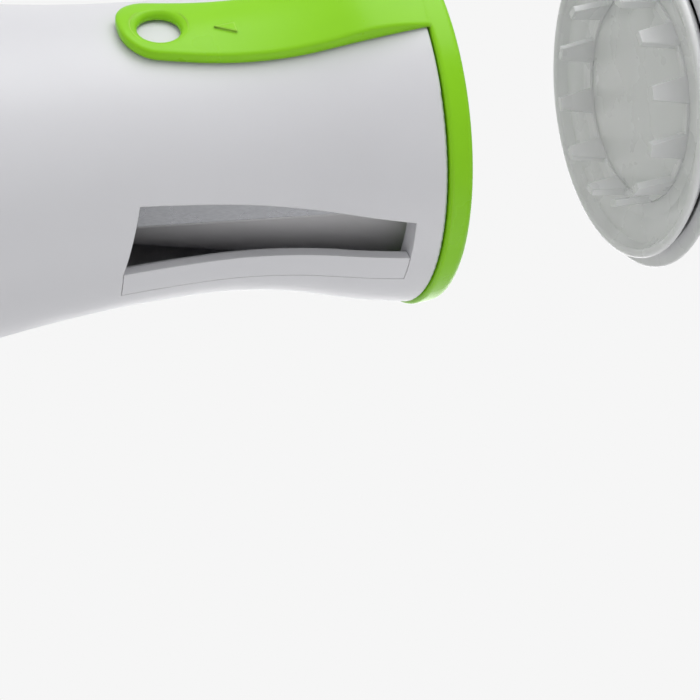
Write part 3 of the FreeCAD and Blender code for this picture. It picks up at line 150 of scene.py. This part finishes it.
def moulded_plastic(name, tone, shade, edge, roughness, rounding=EDGE_ROUNDING, **settings):
    """Injection moulded plastic: faint flow marks in the colour, uneven gloss and orange peel.

    edge is the lighter colour painted along its edges as a highlight, rounding is their radius in
    metres, and further settings are inputs of the shader.
    """
    surface = Surface(name, **settings)
    flow = surface.noise(FLOW_SIZE, detail=3.0, place=surface.stretched(FLOW_STRETCH))
    body = surface.mixed(surface.ranged(flow, TONE_SPREAD), tone, shade)
    # Edges are painted lighter in the highlight colour: a painted highlight where light catches
    # them, not wear.
    surface.feed("Base Color", surface.mixed(surface.edges(EDGE_HIGHLIGHT_RADIUS), body, edge))
    handled = surface.noise(HANDLED_SIZE, detail=4.0)
    surface.feed("Roughness", surface.ranged(handled, ROUGHNESS_SPREAD, roughness))
    peel = surface.noise(PEEL_SIZE, detail=1.0)
    grain = surface.noise(GRAIN_SIZE, detail=2.0)
    wavy = surface.bump(peel, PEEL_DEPTH, surface.softened(rounding))
    surface.feed("Normal", surface.bump(grain, GRAIN_DEPTH, wavy))
    return surface.material


STREAK_SIZE = 0.0002
STREAK_DEPTH = 0.0000015
CLOUD_SIZE = 0.006
STEEL_ROUNDING = 0.0001


def steel(name, tone, shade, roughness, stretch):
    """Ground or drawn steel: fine lines in its colour and relief, and clouds in its gloss.

    stretch scales the lines along x, y and z, and a small factor makes them long that way.
    """
    surface = Surface(name, Metallic=1.0)
    lines = surface.noise(STREAK_SIZE, detail=3.0, place=surface.stretched(stretch))
    surface.feed("Base Color", surface.mixed(surface.ranged(lines, TONE_SPREAD), tone, shade))
    clouds = surface.noise(CLOUD_SIZE, detail=3.0)
    surface.feed("Roughness", surface.ranged(clouds, ROUGHNESS_SPREAD, roughness))
    surface.feed("Normal", surface.bump(lines, STREAK_DEPTH, surface.softened(STEEL_ROUNDING)))
    return surface.material


DUST_SIZE = 0.003
RUBBER_GRAIN_SIZE = 0.0006
RUBBER_GRAIN_DEPTH = 0.00003


def soft_rubber(name, tone, shade, roughness):
    """Matt rubber with a fine spark-eroded grain and a trace of dust."""
    surface = Surface(name, IOR=1.45)
    dust = surface.noise(DUST_SIZE, detail=5.0, roughness=0.7)
    surface.feed("Base Color", surface.mixed(surface.ranged(dust, DUST_SPREAD), tone, shade))
    surface.feed("Roughness", surface.ranged(dust, ROUGHNESS_SPREAD, roughness))
    grain = surface.noise(RUBBER_GRAIN_SIZE, detail=3.0)
    surface.feed("Normal", surface.bump(grain, RUBBER_GRAIN_DEPTH))
    return surface.material


# Each plastic's lighter colour for its edges is a painted highlight, not wear.
PLASTICS = {
    "white_shell": dict(
        tone=colour(224, 224, 228), shade=colour(220, 220, 224), edge=colour(236, 236, 239),
        roughness=(0.36, 0.44),
    ),
    "white_inner": dict(
        tone=colour(222, 221, 222), shade=colour(214, 213, 215), edge=colour(232, 232, 233),
        roughness=(0.38, 0.5),
    ),
    "white_holder": dict(
        tone=colour(229, 229, 230), shade=colour(224, 225, 226), edge=colour(238, 239, 240),
        roughness=(0.24, 0.32),
    ),
    "lime_green": dict(
        tone=colour(145, 216, 24), shade=colour(139, 211, 16), edge=colour(178, 232, 80),
        roughness=(0.26, 0.34), rounding=0.0012, Specular_IOR_Level=0.25,
    ),
    "natural_bush": dict(
        tone=colour(226, 222, 208), shade=colour(219, 214, 198), edge=colour(232, 229, 218),
        roughness=(0.45, 0.55),
    ),
}
STEELS = {
    # Kept darker than the other steels: partly the ground blade's own tone, partly painted shade
    # for the dark interior it reflects behind the window.
    "blade_steel": dict(
        tone=colour(168, 169, 173), shade=colour(158, 159, 163),
        roughness=(0.24, 0.34), stretch=(1.0, 1.0, 0.03),
    ),
    "comb_steel": dict(
        tone=colour(190, 191, 194), shade=colour(179, 180, 184),
        roughness=(0.24, 0.34), stretch=(1.0, 1.0, 0.04),
    ),
    "ball_steel": dict(
        tone=colour(214, 215, 218), shade=colour(205, 206, 210),
        roughness=(0.1, 0.18), stretch=(1.0, 1.0, 1.0),
    ),
    "spring_steel": dict(
        tone=colour(178, 179, 182), shade=colour(160, 161, 164),
        roughness=(0.28, 0.4), stretch=(1.0, 1.0, 0.2),
    ),
    "zinc_screw": dict(
        tone=colour(204, 206, 208), shade=colour(190, 192, 196),
        roughness=(0.26, 0.42), stretch=(0.3, 0.3, 1.0),
    ),
}
RUBBERS = {
    "grey_rubber": dict(
        tone=colour(160, 162, 164), shade=colour(174, 175, 176), roughness=(0.62, 0.8),
    ),
}
MATERIALS = {
    name: make(name, **look)
    for make, looks in ((moulded_plastic, PLASTICS), (steel, STEELS), (soft_rubber, RUBBERS))
    for name, look in looks.items()
}

slot_of_node = {part["node"]: part["material_slot"] for part in frame["record"]["subparts"]}
for name, piece in frame["nodes"].items():
    piece.data.materials.clear()
    piece.data.materials.append(MATERIALS[slot_of_node[name]])


# ---------------------------------------------------------------- floor and background
BACKGROUND = colour(246, 246, 246)
SKY_LIGHT = (1.0, 1.0, 1.0, 1.0)
SKY_STRENGTH = 0.42

FLOOR_RADIUS = 1.6
FLOOR_SIDES = 96
FLOOR_DROP = 0.0002
FLOOR_TONE = colour(238, 238, 238)
FLOOR_SHADE = colour(241, 241, 241)
MOTTLE_SIZE = 0.02
FADE_START = 0.25
FADE_END = 0.72


def seen_directly(tree):
    """1 for rays that show a background: from the camera, in gloss or through glass."""
    path = tree.nodes.new("ShaderNodeLightPath")
    total = path.outputs["Is Camera Ray"]
    for other in ("Is Glossy Ray", "Is Transmission Ray"):
        either = tree.nodes.new("ShaderNodeMath")
        either.operation = "MAXIMUM"
        tree.links.new(total, either.inputs[0])
        tree.links.new(path.outputs[other], either.inputs[1])
        total = either.outputs[0]
    return total


def show_mixed(tree, share, first, second, output):
    """Sends the output one shader where share is 0, and the other where it is 1."""
    mix = tree.nodes.new("ShaderNodeMixShader")
    for source, target in zip((share, first.outputs[0], second.outputs[0]), mix.inputs):
        tree.links.new(source, target)
    tree.links.new(mix.outputs[0], output.inputs["Surface"])


def make_world():
    """Plain white light from all round, and a near white behind the object."""
    world = bpy.data.worlds.new("studio")
    scene.world = world
    world.use_nodes = True
    tree = world.node_tree
    tree.nodes.clear()
    output = tree.nodes.new("ShaderNodeOutputWorld")
    lighting = tree.nodes.new("ShaderNodeBackground")
    lighting.inputs["Color"].default_value = SKY_LIGHT
    lighting.inputs["Strength"].default_value = SKY_STRENGTH
    shown = tree.nodes.new("ShaderNodeBackground")
    shown.inputs["Color"].default_value = BACKGROUND
    show_mixed(tree, seen_directly(tree), lighting, shown, output)


def floor_paper():
    """Pale, faintly mottled paper that glows in the background's colour far out."""
    surface = Surface("floor_paper", Roughness=0.8)
    mottle = surface.noise(MOTTLE_SIZE, detail=4.0)
    surface.feed("Base Color", surface.mixed(mottle, FLOOR_TONE, FLOOR_SHADE))
    glow = surface.node("ShaderNodeEmission", {"Color": BACKGROUND})
    far = surface.node("ShaderNodeVectorMath", {0: surface.place}, operation="LENGTH")
    fade = surface.ranged(far.outputs["Value"], (FADE_START, FADE_END))
    share = surface.product(fade, seen_directly(surface.tree))
    show_mixed(surface.tree, share, surface.shader, glow, surface.output)
    return surface.material


def make_floor():
    """A wide disc just under the foot."""
    mesh = bpy.data.meshes.new("floor")
    turns = [2 * math.pi * step / FLOOR_SIDES for step in range(FLOOR_SIDES)]
    rim = [
        (FLOOR_RADIUS * math.cos(turn), FLOOR_RADIUS * math.sin(turn), -FLOOR_DROP)
        for turn in turns
    ]
    mesh.from_pydata(rim, [], [list(range(FLOOR_SIDES))])
    mesh.materials.append(floor_paper())
    floor = bpy.data.objects.new("floor", mesh)
    scene.collection.objects.link(floor)


# ---------------------------------------------------------------- lamps and camera
LAMP_TARGET = Vector((0.0, 0.0, 0.1))

# Each lamp's place, the side of its square and its power in watts.
LAMPS = {
    "key": ((-0.6, -0.35, 0.35), 0.6, 3.1),
    "fill": ((0.15, -0.8, 0.15), 0.7, 0.3),
    "bounce": ((0.7, -0.2, 0.2), 0.6, 1.0),
    "back": ((0.1, 0.8, 0.45), 0.6, 1.8),
}

# The picture's side and the camera's focal length, both in pixels.
PICTURE_PIXELS = 700.0
FOCAL_PIXELS = 1700.0
SENSOR_MM = 36.0
NEAREST_SEEN = 0.01
CAMERA_PLACE = (0.044656, -0.331341, 0.002424)

# Degrees. The camera looks along +Y and upwards, and is rolled nearly onto its side.
CAMERA_LIFT = 16.1576
CAMERA_ROLL = 81.2096


def area_lamp(name, place, side, power):
    """A square soft box that faces the object."""
    lamp = bpy.data.lights.new(name, "AREA")
    lamp.shape = "SQUARE"
    lamp.size = side
    lamp.energy = power
    holder = bpy.data.objects.new(name, lamp)
    holder.location = place
    holder.rotation_euler = (Vector(place) - LAMP_TARGET).to_track_quat("Z", "Y").to_euler()
    scene.collection.objects.link(holder)


def make_camera():
    """The camera lies on its side in front of the standing tool, as the tool is held level."""
    camera_data = bpy.data.cameras.new("camera")
    camera_data.sensor_width = SENSOR_MM
    camera_data.lens = SENSOR_MM * FOCAL_PIXELS / PICTURE_PIXELS
    camera_data.clip_start = NEAREST_SEEN
    camera = bpy.data.objects.new("camera", camera_data)
    camera.matrix_world = (
        Matrix.Translation(CAMERA_PLACE)
        @ Matrix.Rotation(math.radians(90.0 + CAMERA_LIFT), 4, "X")
        @ Matrix.Rotation(math.radians(CAMERA_ROLL), 4, "Z")
    )
    scene.collection.objects.link(camera)
    scene.camera = camera


make_world()
make_floor()
for name, (place, side, power) in LAMPS.items():
    area_lamp(name, place, side, power)
make_camera()
scene.view_settings.view_transform = "Standard"
